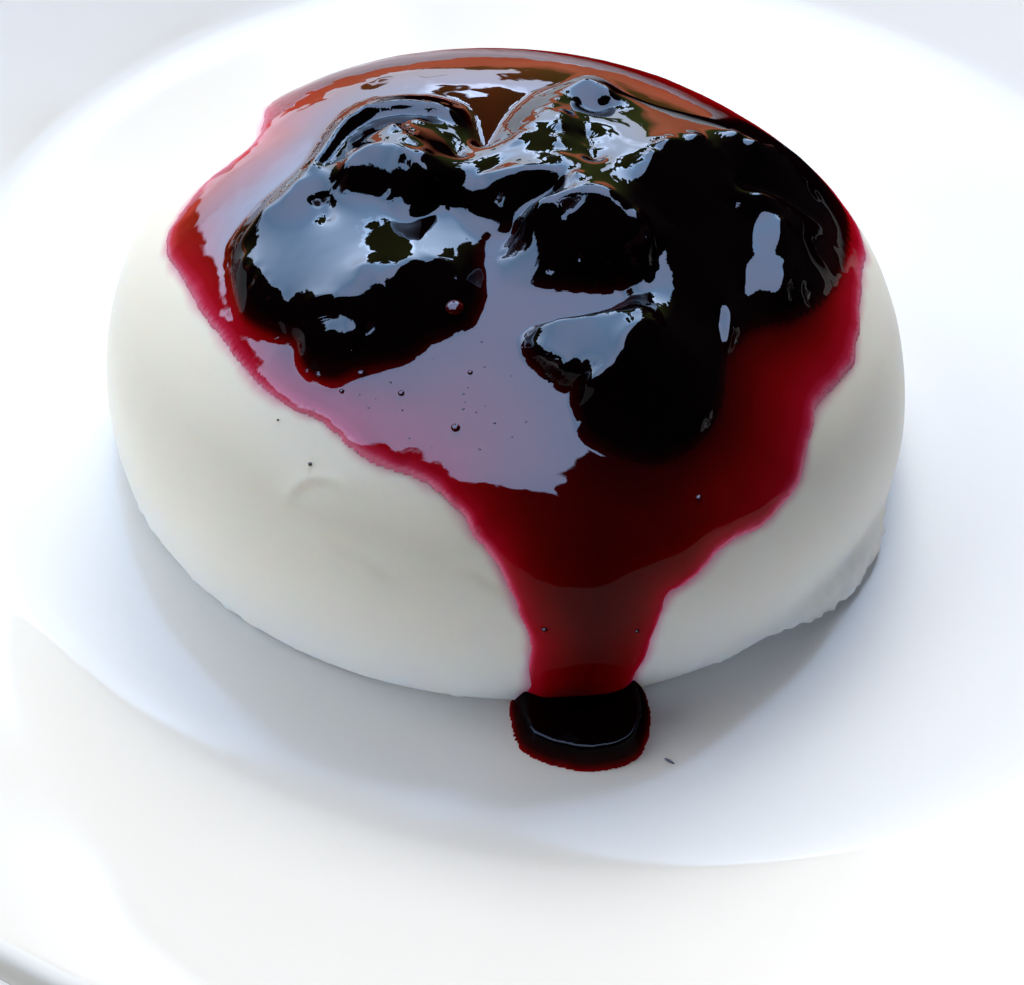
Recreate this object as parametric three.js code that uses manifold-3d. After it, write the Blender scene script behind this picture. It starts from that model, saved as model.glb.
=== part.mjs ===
// A panna cotta turned out of its mould onto a dessert plate, with a dark berry sauce poured over it.
// The sauce lies on the dome as a film with whole berries in it, and runs down the front in one tongue
// that ends in a small pool on the plate.
// Millimetres, +Z up. The origin is the middle of the plate, on the table.

import * as THREE from 'three';
import { mergeVertices } from 'three/addons/utils/BufferGeometryUtils.js';
import Module from 'manifold-3d';

// ---- Driving dimensions ----

const GAP = 0.3; // clearance kept between two pieces that touch

// The plate
const PLATE_RADIUS = 103;
const WELL_RADIUS = 70.5; // where the flat well turns up into the rim
const WELL_HEIGHT = 6.5; // top of the well above the table
const RIM_HEIGHT = 20;
const PLATE_THICKNESS = 4.2;
const FOOT_RADIUS = 62; // middle of the foot ring
const FOOT_WIDTH = 5;
const FOOT_HOLLOW = 2.3; // height of the underside inside the foot ring
const PLATE_SIDES = 64;

// The panna cotta
const CREAM_PLACE = new THREE.Vector3(-10, -12.2, WELL_HEIGHT + GAP);
const BASE_RADIUS = 40;
const BELLY_RADIUS = 40.7; // the wall is widest here
const BELLY_HEIGHT = 6.9;
const SHOULDER_RADIUS = 38; // where the wall turns into the dome
const SHOULDER_HEIGHT = 16.4;
const CREAM_HEIGHT = 29;
const DOME_FULLNESS = 2.42; // 2 and 1 would be a paraboloid
const DOME_SHOULDER = 1.22;
const LEAN = -1.0; // sideways shift of the top, which has slumped a little
const CREAM_SIDES = 64;

// The lip of cream that tore loose at the foot of the wall
const LIP_ANGLE = -28;
const LIP_SPREAD = 9; // degrees to each side
const LIP_REACH = 1.5;
const LIP_HEIGHT = 3.2;

// The sauce: how far it reaches down from the apex, measured over the dome, at angles from +X in degrees
const SAUCE_REACH = [
  [3, 36.8],
  [-8, 36.2],
  [-20, 37],
  [-32, 36.4],
  [-41, 40],
  [-50, 42.3],
  [-60, 43.8],
  [-68, 46],
  [-77, 47],
  [-85, 45.5],
  [-90, 40.2],
  [-97, 35.2],
  [-108, 33.9],
  [-120, 32],
  [-135, 32.6],
  [-152, 32],
  [-165, 33.4],
  [-178, 35.2],
  [-188, 33],
  [-200, 28.9],
  [-210, 31],
  [-220, 35.8],
  [-245, 37.2],
  [-268, 36.4],
  [-292, 37.6],
  [-318, 39.2],
  [-340, 39.6],
];
const FILM = 1.1; // depth of the film of sauce
const FACET_DIP = 0.15; // how far the film's flat facets dip towards the curved cream between their corners
const EDGE_FILM = 0.45; // depth where the film ends
const MOUND = { x: 2, y: -6, length: 54, width: 46, depth: 1.7 }; // sauce heaped between the berries
const MEAN_REACH = 36; // the film's rows are evenly round near the apex, and follow its outline further out
const SAUCE_SIDES = 64;
const SAUCE_ROWS = 8;

// The tongue of sauce down the wall, and the pool that it feeds
const TONGUE_ANGLE = -76.6;
const TONGUE_START = 42;
const TONGUE_WIDTH = 10.8;
const TONGUE_FLARE = 5.6; // extra width where it leaves the film
const TONGUE_DEPTH = 1.1;
const TONGUE_ROOT = 0.3; // how far its underside is raised where it lies inside the film or the pool
const TONGUE_LAP = 1.5; // the raised underside ends this far inside the film's edge
const POOL = { x: 8.6, y: -40.4, length: 13.4, width: 14.2, depth: 2.5 };

// The berries. Place of each on the dome seen from above, its length, width and height over the cream,
// and the angle of its length from +X in degrees.
const BERRIES = [
  { x: -19.3, y: -12.8, length: 10.5, width: 12.5, height: 5.2, turn: 20 },
  { x: -16, y: -5.2, length: 9.5, width: 10, height: 4.8, turn: 30 },
  { x: -13.2, y: -20.3, length: 10.5, width: 10.5, height: 6.2, turn: 15 },
  { x: -7.6, y: -20.6, length: 9, width: 8.5, height: 5.4, turn: 0 },
  { x: -6.2, y: -14.6, length: 9.5, width: 9.5, height: 5.4, turn: -20 },
  { x: -11.2, y: -2.6, length: 10.5, width: 10, height: 6.8, turn: 0 },
  { x: -8.3, y: 5.2, length: 8.6, width: 9.5, height: 4.8, turn: 0 },
  { x: 0.8, y: -5.8, length: 8.4, width: 8.4, height: 5.8, turn: 20 },
  { x: 7, y: -10.4, length: 14.4, width: 10.4, height: 8, turn: 0 },
  { x: 5.8, y: 3.4, length: 4.8, width: 9, height: 5, turn: 0 },
  { x: 8, y: 12.6, length: 5, width: 5.5, height: 3.8, turn: 0 },
  { x: 15.6, y: -1.4, length: 9.6, width: 12.4, height: 6.8, turn: 10 },
  { x: 24, y: 7, length: 12.5, width: 9.6, height: 5.6, turn: -20 },
  { x: 15.6, y: -12.4, length: 7.6, width: 8.6, height: 5.6, turn: 0 },
  { x: 24.4, y: -6, length: 10.6, width: 12, height: 5.8, turn: 0 },
  { x: 4.6, y: -22, length: 7.6, width: 7.4, height: 4.6, turn: -40 },
  { x: 12.8, y: -24.2, length: 13.4, width: 14.4, height: 7.8, turn: 0 },
  { x: 20, y: -16.6, length: 4.8, width: 6.6, height: 3.4, turn: 0 },
];
const BERRY_SQUASH = 0.2; // share of a berry's height by which the dome flattens its underside
const BERRY_DENT = 0.05; // depth of the dents in a berry's skin, as a share of its radius
const BERRY_SIDES = 10;
const BERRY_ROWS = 7;

// Materials
const PORCELAIN = new THREE.MeshStandardMaterial({ color: 0xeef3f8, roughness: 0.12, metalness: 0 });
const CREAM = new THREE.MeshStandardMaterial({ color: 0xf3f2ee, roughness: 0.35, metalness: 0 });
const SAUCE = new THREE.MeshStandardMaterial({ color: 0x4a0210, roughness: 0.06, metalness: 0 });
const BERRY = new THREE.MeshStandardMaterial({ color: 0x120509, roughness: 0.15, metalness: 0 });

// ---- Solids ----

const wasm = await Module();
wasm.setup();

/** A closed geometry as a manifold-3d solid, for joining and cutting. */
function toSolid(geometry) {
  const bare = new THREE.BufferGeometry();
  bare.setAttribute('position', geometry.getAttribute('position').clone());
  if (geometry.index) bare.setIndex(geometry.index.clone());
  const merged = mergeVertices(bare, 1e-4);
  return new wasm.Manifold(
    new wasm.Mesh({
      numProp: 3,
      vertProperties: new Float32Array(merged.getAttribute('position').array),
      triVerts: new Uint32Array(merged.index.array),
    }),
  );
}

/** A manifold-3d solid as a geometry. */
function toGeometry(solid) {
  const mesh = solid.getMesh();
  const geometry = new THREE.BufferGeometry();
  geometry.setAttribute('position', new THREE.BufferAttribute(mesh.vertProperties, 3));
  geometry.setIndex(new THREE.BufferAttribute(mesh.triVerts, 1));
  const flat = geometry.toNonIndexed();
  flat.computeVertexNormals();
  return flat;
}

/** Moves every vertex of a geometry to the point that the function gives for it. */
function reshape(geometry, pointFor) {
  const position = geometry.getAttribute('position');
  const vertex = new THREE.Vector3();
  for (let i = 0; i < position.count; i += 1) {
    vertex.fromBufferAttribute(position, i);
    const moved = pointFor(vertex);
    position.setXYZ(i, moved.x, moved.y, moved.z);
  }
  return geometry;
}

/** A named mesh that stands where the panna cotta stands. */
function onPlate(name, geometry, material) {
  const mesh = new THREE.Mesh(geometry, material);
  mesh.name = name;
  mesh.position.copy(CREAM_PLACE);
  return mesh;
}

// ---- The plate ----

/** The plate's section, from the axis under the foot out over the rim and back to the axis. */
function plateProfile() {
  const footInner = FOOT_RADIUS - FOOT_WIDTH / 2;
  const footOuter = FOOT_RADIUS + FOOT_WIDTH / 2;
  const edge = PLATE_THICKNESS * 0.34;
  const rimUnder = RIM_HEIGHT - PLATE_THICKNESS * 0.8;
  const section = new THREE.Path();
  section.moveTo(0, FOOT_HOLLOW);
  section.lineTo(footInner - 1, FOOT_HOLLOW);
  section.lineTo(footInner, 0);
  section.lineTo(footOuter, 0);
  section.lineTo(footOuter + 2, FOOT_HOLLOW);
  section.quadraticCurveTo(WELL_RADIUS + 4, FOOT_HOLLOW + 0.6, WELL_RADIUS + 12, FOOT_HOLLOW + 4.6);
  section.lineTo(PLATE_RADIUS - edge, rimUnder);
  section.quadraticCurveTo(PLATE_RADIUS + edge, RIM_HEIGHT - edge, PLATE_RADIUS - edge, RIM_HEIGHT);
  section.quadraticCurveTo(WELL_RADIUS + 14, WELL_HEIGHT + 6.5, WELL_RADIUS, WELL_HEIGHT + 0.5);
  section.lineTo(WELL_RADIUS - 3.5, WELL_HEIGHT);
  section.lineTo(0, WELL_HEIGHT);
  return section.getPoints(3);
}

function plateGeometry() {
  const lathe = new THREE.LatheGeometry(plateProfile(), PLATE_SIDES);
  return lathe.rotateX(Math.PI / 2);
}

// ---- The panna cotta ----

const WALL_CURVE = (() => {
  // The wall's radius is a parabola in height through the base, the belly and the shoulder.
  const bellyRise = (BELLY_RADIUS - BASE_RADIUS) / BELLY_HEIGHT;
  const shoulderRise = (SHOULDER_RADIUS - BASE_RADIUS) / SHOULDER_HEIGHT;
  const bend = (shoulderRise - bellyRise) / (SHOULDER_HEIGHT - BELLY_HEIGHT);
  return { slope: bellyRise - bend * BELLY_HEIGHT, bend };
})();

function wallRadius(height) {
  return BASE_RADIUS + WALL_CURVE.slope * height + WALL_CURVE.bend * height * height;
}

function domeHeight(radius) {
  const fall = 1 - Math.min(1, radius / SHOULDER_RADIUS) ** DOME_FULLNESS;
  return SHOULDER_HEIGHT + (CREAM_HEIGHT - SHOULDER_HEIGHT) * fall ** (1 / DOME_SHOULDER);
}

// The line that the mould gives the panna cotta, from the apex down to the plate
const MOULD_LINE = (() => {
  const points = [];
  for (let i = 0; i <= 36; i += 1) {
    const radius = SHOULDER_RADIUS * Math.sin((i / 36) * Math.PI * 0.5);
    points.push(new THREE.Vector2(radius, domeHeight(radius)));
  }
  for (let i = 1; i <= 12; i += 1) {
    const height = SHOULDER_HEIGHT * (1 - i / 12);
    points.push(new THREE.Vector2(wallRadius(height), height));
  }
  return new THREE.SplineCurve(points);
})();
const MOULD_LENGTH = MOULD_LINE.getLength();

/** The point at a distance from the apex over the surface, at an angle round it, raised off the cream. */
function overCream(distance, angle, raised) {
  const share = Math.min(1, Math.max(0, distance / MOULD_LENGTH));
  const point = MOULD_LINE.getPointAt(share);
  const along = share === 0 ? new THREE.Vector2(1, 0) : MOULD_LINE.getTangentAt(share);
  const radius = Math.max(0, point.x - along.y * raised);
  const height = point.y + along.x * raised;
  return new THREE.Vector3(
    radius * Math.cos(angle) + (LEAN * height) / CREAM_HEIGHT,
    radius * Math.sin(angle),
    height,
  );
}

/** How far the torn lip pushes the foot of the wall out. */
function lipReach(angle, height) {
  const degrees = THREE.MathUtils.radToDeg(angle);
  const across = (degrees - LIP_ANGLE) / LIP_SPREAD;
  const up = height / LIP_HEIGHT;
  return LIP_REACH * Math.exp(-(across ** 4)) * Math.exp(-(up ** 4));
}

/** The panna cotta's solid, grown by a clearance where it is used as a cutter. */
function creamGeometry(grow) {
  const domeRadii = [0, 8, 15, 21, 26, 30, 33, 35.3, 37];
  const wallHeights = [1, 0.82, 0.62, 0.42, 0.25, 0.12, 0.04, 0].map((share) => share * SHOULDER_HEIGHT);
  const profile = [new THREE.Vector2(0, -grow)];
  for (const height of wallHeights.toReversed()) {
    const inset = height === 0 ? 0.5 : 0;
    profile.push(new THREE.Vector2(wallRadius(height) - inset + grow, height === 0 ? -grow : height));
  }
  for (const radius of domeRadii.toReversed()) {
    const outward = radius / SHOULDER_RADIUS;
    profile.push(new THREE.Vector2(radius + (radius ? grow * outward : 0), domeHeight(radius) + grow));
  }
  const lathe = new THREE.LatheGeometry(profile, CREAM_SIDES).rotateX(Math.PI / 2);
  return reshape(lathe, (vertex) => {
    const radius = Math.hypot(vertex.x, vertex.y);
    if (radius > 1) {
      const angle = Math.atan2(vertex.y, vertex.x);
      const pushed = radius > BASE_RADIUS - 2 ? lipReach(angle, Math.max(0, vertex.z)) / radius : 0;
      vertex.x *= 1 + pushed;
      vertex.y *= 1 + pushed;
    }
    vertex.x += (LEAN * Math.max(0, vertex.z)) / CREAM_HEIGHT;
    return vertex;
  });
}

// ---- The sauce ----

/** The film's reach at evenly spaced angles, from a smooth closed curve through the named ones. */
const SAUCE_OUTLINE = (() => {
  const corners = SAUCE_REACH.map(([degrees, reach]) => {
    const angle = THREE.MathUtils.degToRad(degrees);
    return new THREE.Vector3(reach * Math.cos(angle), reach * Math.sin(angle), 0);
  });
  return new THREE.CatmullRomCurve3(corners, true, 'centripetal').getSpacedPoints(720);
})();

function sauceReach(angle) {
  let best = SAUCE_OUTLINE[0];
  let least = Infinity;
  for (const point of SAUCE_OUTLINE) {
    const turn = Math.abs(Math.atan2(point.y * Math.cos(angle) - point.x * Math.sin(angle),
      point.x * Math.cos(angle) + point.y * Math.sin(angle)));
    if (turn < least) {
      least = turn;
      best = point;
    }
  }
  return Math.hypot(best.x, best.y);
}

/** Depth of the sauce at a place seen from above; share is 0 at the apex and 1 at the film's edge. */
function sauceDepth(x, y, share) {
  const film = EDGE_FILM + (FILM - EDGE_FILM) * (1 - share ** 10);
  const across = Math.hypot((x - MOUND.x) / (MOUND.length / 2), (y - MOUND.y) / (MOUND.width / 2));
  return film + MOUND.depth * THREE.MathUtils.smoothstep(1.15 - across, 0, 0.45);
}

/** The film over the dome: a flattened sphere whose upper half is its face and whose lower half lies on the cream. */
function filmGeometry() {
  const sphere = new THREE.SphereGeometry(1, SAUCE_SIDES, 2 * SAUCE_ROWS).rotateX(Math.PI / 2);
  return reshape(sphere, (vertex) => {
    const share = Math.min(1, Math.hypot(vertex.x, vertex.y));
    const angle = Math.atan2(vertex.y, vertex.x);
    const distance = share * THREE.MathUtils.lerp(MEAN_REACH, sauceReach(angle), share ** 2);
    if (vertex.z < -0.01) return overCream(distance, angle, GAP + FACET_DIP);
    const onDome = overCream(distance, angle, 0);
    return overCream(distance, angle, GAP + sauceDepth(onDome.x, onDome.y, share));
  });
}

/** The tongue down the wall. Both its ends lie inside the sauce that they join. */
function tongueGeometry() {
  const box = new THREE.BoxGeometry(2, 1, 1, 8, 12, 1);
  const end = MOULD_LENGTH - 0.6;
  return reshape(box, (vertex) => {
    const down = 0.5 - vertex.y;
    const distance = THREE.MathUtils.lerp(TONGUE_START, end, down);
    const width = TONGUE_WIDTH + TONGUE_FLARE * (1 - down) ** 3;
    const angle = THREE.MathUtils.degToRad(TONGUE_ANGLE) + (vertex.x * width) / 2 / BASE_RADIUS;
    const isJoined = distance < sauceReach(angle) - TONGUE_LAP || distance > MOULD_LENGTH - POOL.depth;
    const underside = GAP + FACET_DIP + (isJoined ? TONGUE_ROOT : 0);
    const crown = Math.sqrt(Math.max(0, 1 - vertex.x ** 2)) * Math.min(1, 0.3 + 3 * down);
    const face = GAP + THREE.MathUtils.lerp(EDGE_FILM, TONGUE_DEPTH, crown);
    return overCream(distance, angle, vertex.z > 0 ? face : underside);
  });
}

/** The pool on the plate: a flat puddle with a rounded rim. */
function poolGeometry() {
  const sphere = new THREE.SphereGeometry(1, 28, 10).rotateX(Math.PI / 2);
  return reshape(sphere, (vertex) => {
    const flat = Math.hypot(vertex.x, vertex.y);
    const rise = vertex.z > 0 ? Math.sqrt(Math.max(0, 1 - flat ** 4)) * POOL.depth : 0;
    return new THREE.Vector3(
      POOL.x + (vertex.x * POOL.length) / 2,
      POOL.y + (vertex.y * POOL.width) / 2,
      rise,
    );
  });
}

// ---- The berries ----

/** The dome's outward direction at a place seen from above. */
function domeNormal(x, y) {
  const step = 0.05;
  const slopeX = (domeHeight(Math.hypot(x + step, y)) - domeHeight(Math.hypot(x - step, y))) / (2 * step);
  const slopeY = (domeHeight(Math.hypot(x, y + step)) - domeHeight(Math.hypot(x, y - step))) / (2 * step);
  return new THREE.Vector3(-slopeX, -slopeY, 1).normalize();
}

/**
 * One cooked berry: a squashed, slightly dented ball that sits square on the dome. Where it would sink below
 * the given height over the cream, it is flattened to that height.
 */
function berryGeometry(berry, seed, grow, lowest) {
  const up = domeNormal(berry.x, berry.y);
  const turn = THREE.MathUtils.degToRad(berry.turn);
  const along = new THREE.Vector3(Math.cos(turn), Math.sin(turn), 0);
  along.addScaledVector(up, -along.dot(up)).normalize();
  const across = new THREE.Vector3().crossVectors(up, along);
  const halfHeight = (berry.height * (1 + BERRY_SQUASH)) / 2;
  const centre = new THREE.Vector3(berry.x, berry.y, domeHeight(Math.hypot(berry.x, berry.y)));
  centre.addScaledVector(up, berry.height - halfHeight);
  const ball = new THREE.SphereGeometry(1, BERRY_SIDES, BERRY_ROWS).rotateX(Math.PI / 2);
  return reshape(ball, (vertex) => {
    const dent =
      Math.sin(3.1 * vertex.x + seed) * Math.sin(2.7 * vertex.y + 2 * seed) +
      0.5 * Math.sin(4.3 * vertex.z + 3 * seed);
    const swell = 1 + BERRY_DENT * dent;
    const point = centre.clone();
    point.addScaledVector(along, vertex.x * ((berry.length / 2) * swell + grow));
    point.addScaledVector(across, vertex.y * ((berry.width / 2) * swell + grow));
    point.addScaledVector(up, vertex.z * (halfHeight * swell + grow));
    point.z = Math.max(point.z, domeHeight(Math.hypot(point.x, point.y)) + lowest);
    point.x += (LEAN * point.z) / CREAM_HEIGHT;
    return point;
  });
}

// ---- The whole ----

const group = new THREE.Group();

const plate = new THREE.Mesh(plateGeometry(), PORCELAIN);
plate.name = 'plate';
group.add(plate);
group.add(onPlate('panna_cotta', creamGeometry(0), CREAM));

const berryCutters = [];
for (const [index, berry] of BERRIES.entries()) {
  let solid = toSolid(berryGeometry(berry, index, 0, 1.5 * GAP));
  for (const cutter of berryCutters) solid = solid.subtract(cutter);
  berryCutters.push(toSolid(berryGeometry(berry, index, GAP, -GAP)));
  const name = `berry_${String(index + 1).padStart(2, '0')}`;
  group.add(onPlate(name, toGeometry(solid), BERRY));
}

const pool = toSolid(poolGeometry()).subtract(toSolid(creamGeometry(GAP)));
let sauce = toSolid(filmGeometry()).add(toSolid(tongueGeometry())).add(pool);
for (const cutter of berryCutters) sauce = sauce.subtract(cutter);
group.add(onPlate('sauce', toGeometry(sauce), SAUCE));

export default group;
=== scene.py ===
# A panna cotta on a dessert plate, with a dark berry sauce poured over it. The sections follow the way the
# dessert is put together: the studio round it, the plate, the cream, the berries, the sauce over them and
# the small things in and on it. Lengths are millimetres until a finished piece is written out in metres.

import math
import random

import bmesh
import bpy
import numpy as np
from mathutils import Matrix, Vector, noise
from mathutils.kdtree import KDTree


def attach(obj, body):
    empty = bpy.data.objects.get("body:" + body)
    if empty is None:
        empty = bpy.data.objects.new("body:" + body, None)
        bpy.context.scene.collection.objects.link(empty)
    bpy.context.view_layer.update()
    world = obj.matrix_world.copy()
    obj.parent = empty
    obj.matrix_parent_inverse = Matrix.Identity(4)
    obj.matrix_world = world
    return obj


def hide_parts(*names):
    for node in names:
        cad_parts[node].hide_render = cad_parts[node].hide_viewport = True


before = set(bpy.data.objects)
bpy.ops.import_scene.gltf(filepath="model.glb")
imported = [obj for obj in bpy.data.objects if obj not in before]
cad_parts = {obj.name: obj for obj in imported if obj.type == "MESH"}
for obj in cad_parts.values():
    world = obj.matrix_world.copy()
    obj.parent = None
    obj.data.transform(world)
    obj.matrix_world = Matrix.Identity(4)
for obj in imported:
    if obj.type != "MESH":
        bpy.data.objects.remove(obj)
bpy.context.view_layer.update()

# ---- The camera ----
# A long lens looks down on the front of the panna cotta, a little rolled to one side. Its place is measured
# from the middle of the panna cotta's base.

METRES = 0.001  # one millimetre
CREAM_PLACE = Vector((-10, -12.2, 6.8))
CAMERA_DISTANCE = 241
CAMERA_RISE = math.radians(43.5)
CAMERA_AIM = Vector((1.1, -13.1, 0))
CAMERA_ROLL = math.radians(4.1)
SENSOR_WIDTH = 36
LENS = 80.86


def make_camera():
    """The camera, aimed along its line of sight and then rolled about it."""
    eye = Vector((0, -math.cos(CAMERA_RISE), math.sin(CAMERA_RISE))) * CAMERA_DISTANCE
    forward = (CAMERA_AIM - eye).normalized()
    right = forward.cross(Vector((0, 0, 1))).normalized()
    up = right.cross(forward)
    rolled_right = right * math.cos(CAMERA_ROLL) + up * math.sin(CAMERA_ROLL)
    rolled_up = up * math.cos(CAMERA_ROLL) - right * math.sin(CAMERA_ROLL)
    data = bpy.data.cameras.new("camera")
    data.sensor_width = SENSOR_WIDTH
    data.lens = LENS
    data.clip_start = 0.01
    data.clip_end = 20
    camera = bpy.data.objects.new("camera", data)
    turn = Matrix((rolled_right, rolled_up, -forward)).transposed().to_4x4()
    camera.matrix_world = Matrix.Translation((CREAM_PLACE + eye) * METRES) @ turn
    bpy.context.scene.collection.objects.link(camera)
    bpy.context.scene.camera = camera


make_camera()

# ---- The studio light ----
# Daylight from windows behind and to the left, with a dim room in front. Soft panels light the matt surfaces.
# The wet sauce mirrors a sky in a ragged window shape instead, and mirrors the dim room elsewhere.

PANEL_DISTANCE = 1.6  # metres
PANEL_WIDTH = 26  # degrees, as seen from the dessert
PANEL_HEIGHT = 24
# Each panel's degrees right of straight behind and degrees up, its colour and its strength.
PANELS = {
    "back_panel": (5, 42, "fdfbf3", 30.5),
    "low_back_panel": (5, 18, "fff4e2", 12),
    "back_left_panel": (-20, 42, "eef1ff", 13),
    "far_left_panel": (-75, 42, "f0fbff", 12),
    "left_panel": (-110, 18, "fffaea", 11.5),
    "high_panel": (-30, 66, "f7f7ff", 8.5),
    "right_panel": (75, 18, "fbfaff", 2.2),
}
ROOM_COLOUR = "24262b"
BACKDROP_COLOUR = "e6ebf2"
SKY_GAIN = 28
# The sky's colour at the sine of its height, from the bright haze behind the dessert to straight overhead.
SKY_COLOURS = [(0.03, "54585f"), (0.2, "677081"), (0.4, "8b9ebb"), (0.75, "6a88ae"), (1.0, "8796ba")]
# What lies outside the window by its height, from straight down at 0 to straight up at 1: a wooden table top
# and sill, leaves, then the room.
BAND_GAIN = 3.5
BAND_COLOURS = [
    (0.0, "0a0808"), (0.3, "2a1710"), (0.44, "9a5238"), (0.485, "b06548"), (0.515, "3a4418"), (0.8, "343b17"),
    (0.85, "0b0b0d"),
]
BAND_RAGGEDNESS = 0.07
BAND_SPREAD = (0.25, 0.75)  # how far away a direction must point for the table and the leaves to fill it
BAND_RIGHT = (0.25, 0.5)  # how far right they fade out
# The window is every direction that lies far enough along each of these, by a limit that is torn by some
# raggedness. X is right, Y away and Z up. The last is a line of trees.
WINDOW_EDGES = [
    ((1, 0, 0), -0.8, 0.07),
    ((1, 0, 0.46), -0.58, 0.05),
    ((-1, 0.15, 0), -0.25, 0.07),
    ((0, 1, 0), -0.41, 0.07),
    ((0, 0, 1), -0.1, 0.04),
    ((-0.8, 0, 1), 0.16, 0.3),
]
WINDOW_SOFTNESS = 0.012
LEAF_NOISE = {"Scale": 10.0, "Detail": 8.0}
# One tree stands inside the window, an upright oval of leaves with a torn edge.
TREE_PLACE = (-0.11, 0, 0.43)
TREE_STRETCH = (7.0, 0, 5.5)
TREE_RAGGEDNESS = 0.9
TREE_EDGE = (0.95, 1.05)
TREE_GLOW = (1.7, 1.4)  # how much brighter the sky is beside the leaves, and how far out that reaches


def linear(hex_colour):
    """A colour given as sRGB hex, as linear red, green, blue and alpha."""
    channels = [int(hex_colour[i:i + 2], 16) / 255 for i in (0, 2, 4)]
    return [c / 12.92 if c < 0.04045 else ((c + 0.055) / 1.055) ** 2.4 for c in channels] + [1.0]


def add_node(tree, kind, settings=None, inputs=None):
    """Adds one node. A setting is an attribute's value. An input is a value or the output it links from."""
    node = tree.nodes.new(kind)
    for key, value in (settings or {}).items():
        setattr(node, key, value)
    for key, value in (inputs or {}).items():
        if isinstance(value, bpy.types.NodeSocket):
            tree.links.new(value, node.inputs[key])
        else:
            node.inputs[key].default_value = value
    return node


def add_panel(name, sideways, lift, colour, strength):
    """A flat soft light facing the dessert."""
    data = bpy.data.lights.new(name, "AREA")
    data.shape = "RECTANGLE"
    data.size = 2 * PANEL_DISTANCE * math.tan(math.radians(PANEL_WIDTH / 2))
    data.size_y = 2 * PANEL_DISTANCE * math.tan(math.radians(PANEL_HEIGHT / 2))
    data.color = linear(colour)[:3]
    data.energy = strength * data.size * data.size_y
    panel = bpy.data.objects.new(name, data)
    across, up = math.radians(sideways), math.radians(lift)
    way = Vector((math.sin(across) * math.cos(up), math.cos(across) * math.cos(up), math.sin(up)))
    panel.location = CREAM_PLACE * METRES + way * PANEL_DISTANCE
    panel.rotation_euler = way.to_track_quat("Z", "Y").to_euler()
    panel.visible_camera = False
    panel.visible_glossy = False
    bpy.context.scene.collection.objects.link(panel)


for panel_name, panel_values in PANELS.items():
    add_panel(panel_name, *panel_values)


def remap(tree, value, start, end, low=0.0, high=1.0, smooth=False):
    """A value taken from one range to another, and held within it."""
    settings = {"interpolation_type": "SMOOTHSTEP"} if smooth else {}
    inputs = {"Value": value, "From Min": start, "From Max": end, "To Min": low, "To Max": high}
    return add_node(tree, "ShaderNodeMapRange", settings, inputs).outputs["Result"]


def compute(tree, operation, *values):
    """One operation on numbers."""
    node = add_node(tree, "ShaderNodeMath", {"operation": operation}, dict(enumerate(values)))
    return node.outputs["Value"]


def compute_vector(tree, operation, *values, output="Vector"):
    """One operation on vectors. A dot product and a length come out of the output called Value."""
    node = add_node(tree, "ShaderNodeVectorMath", {"operation": operation}, dict(enumerate(values)))
    return node.outputs[output]


def blend(tree, share, first, second):
    """A mix of two colours."""
    inputs = {"Factor": share, "A": first, "B": second}
    return add_node(tree, "ShaderNodeMix", {"data_type": "RGBA"}, inputs).outputs["Result"]


def fill_ramp(ramp, stops):
    """Gives a colour ramp node its stops, each a place and a colour."""
    elements = ramp.color_ramp.elements
    for number, (place, colour) in enumerate(stops):
        stop = elements[number] if number < 2 else elements.new(1.0)
        stop.position = place
        stop.color = linear(colour)


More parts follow.
